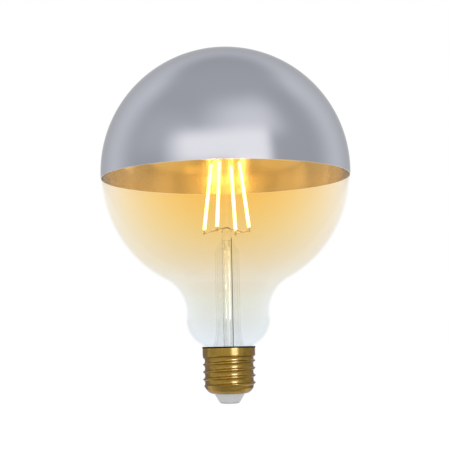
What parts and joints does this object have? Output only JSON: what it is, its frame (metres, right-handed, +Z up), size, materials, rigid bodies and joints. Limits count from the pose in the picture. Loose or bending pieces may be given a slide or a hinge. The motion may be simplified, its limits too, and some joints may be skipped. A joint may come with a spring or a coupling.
{
  "type": "silver crown globe light bulb",
  "caption": "Globe filament lamp with a mirrored crown, amber glass below it, a cage of lit strips on a glass stem and a screw cap.",
  "frame": {"origin": "centre of the centre contact's outer face, at the lamp's lowest point", "axes": "+Z up the lamp's axis from the contact to the crown; +X to the viewer's right in the picture's view, which looks along +Y"},
  "size_m": [0.1252, 0.1252, 0.178],
  "materials": {
    "bulb_glass": "clear blown glass, amber under the silver and clear at the neck",
    "silver_mirror": "silver mirror coat, satin outside, warm and bright inside",
    "cap_brass": "drawn brass with a rolled thread",
    "cap_insulator": "light grey moulded insulator",
    "contact_metal": "tinned contact plate",
    "dark_cement": "dark cement bead",
    "stem_glass": "clear glass",
    "nickel_wire": "drawn nickel",
    "copper_wire": "drawn copper",
    "tinned_wire": "tinned copper",
    "filament_strip": "white strip",
    "phosphor_coat": "phosphor silicone, lit",
    "board_laminate": "glass-fibre laminate",
    "capacitor_sleeve": "shrink sleeve",
    "resistor_body": "lacquered body",
    "moulded_package": "moulded package",
    "chip_ceramic": "chip with tinned ends"
  },
  "bodies": {
    "root": {"arbor": "stem_glass", "basing_cement": "dark_cement", "bridge_rectifier": "moulded_package", "cap_insulator": "cap_insulator", "cap_shell": "cap_brass", "centre_contact": "contact_metal", "chip_resistors": "chip_ceramic", "contact_wire": "copper_wire", "copper_lead_front": "copper_wire", "copper_lead_rear": "tinned_wire", "cross_bar_front": "nickel_wire", "cross_bar_rear": "nickel_wire", "driver_board": "board_laminate", "driver_chip": "moulded_package", "exhaust_tube": "stem_glass", "filament_coat_1": "phosphor_coat", "filament_coat_2": "phosphor_coat", "filament_coat_3": "phosphor_coat", "filament_coat_4": "phosphor_coat", "filament_strip_1": "filament_strip", "filament_strip_2": "filament_strip", "filament_strip_3": "filament_strip", "filament_strip_4": "filament_strip", "filament_tabs_1": "nickel_wire", "filament_tabs_2": "nickel_wire", "filament_tabs_3": "nickel_wire", "filament_tabs_4": "nickel_wire", "fusible_resistor": "resistor_body", "glass_envelope": "bulb_glass", "glass_stem": "stem_glass", "mirror_crown": "silver_mirror", "nickel_lead_front": "nickel_wire", "nickel_lead_rear": "nickel_wire", "shell_wire": "copper_wire", "smoothing_capacitor": "capacitor_sleeve", "top_wire_1": "nickel_wire", "top_wire_2": "nickel_wire"}
  },
  "joints": []
}
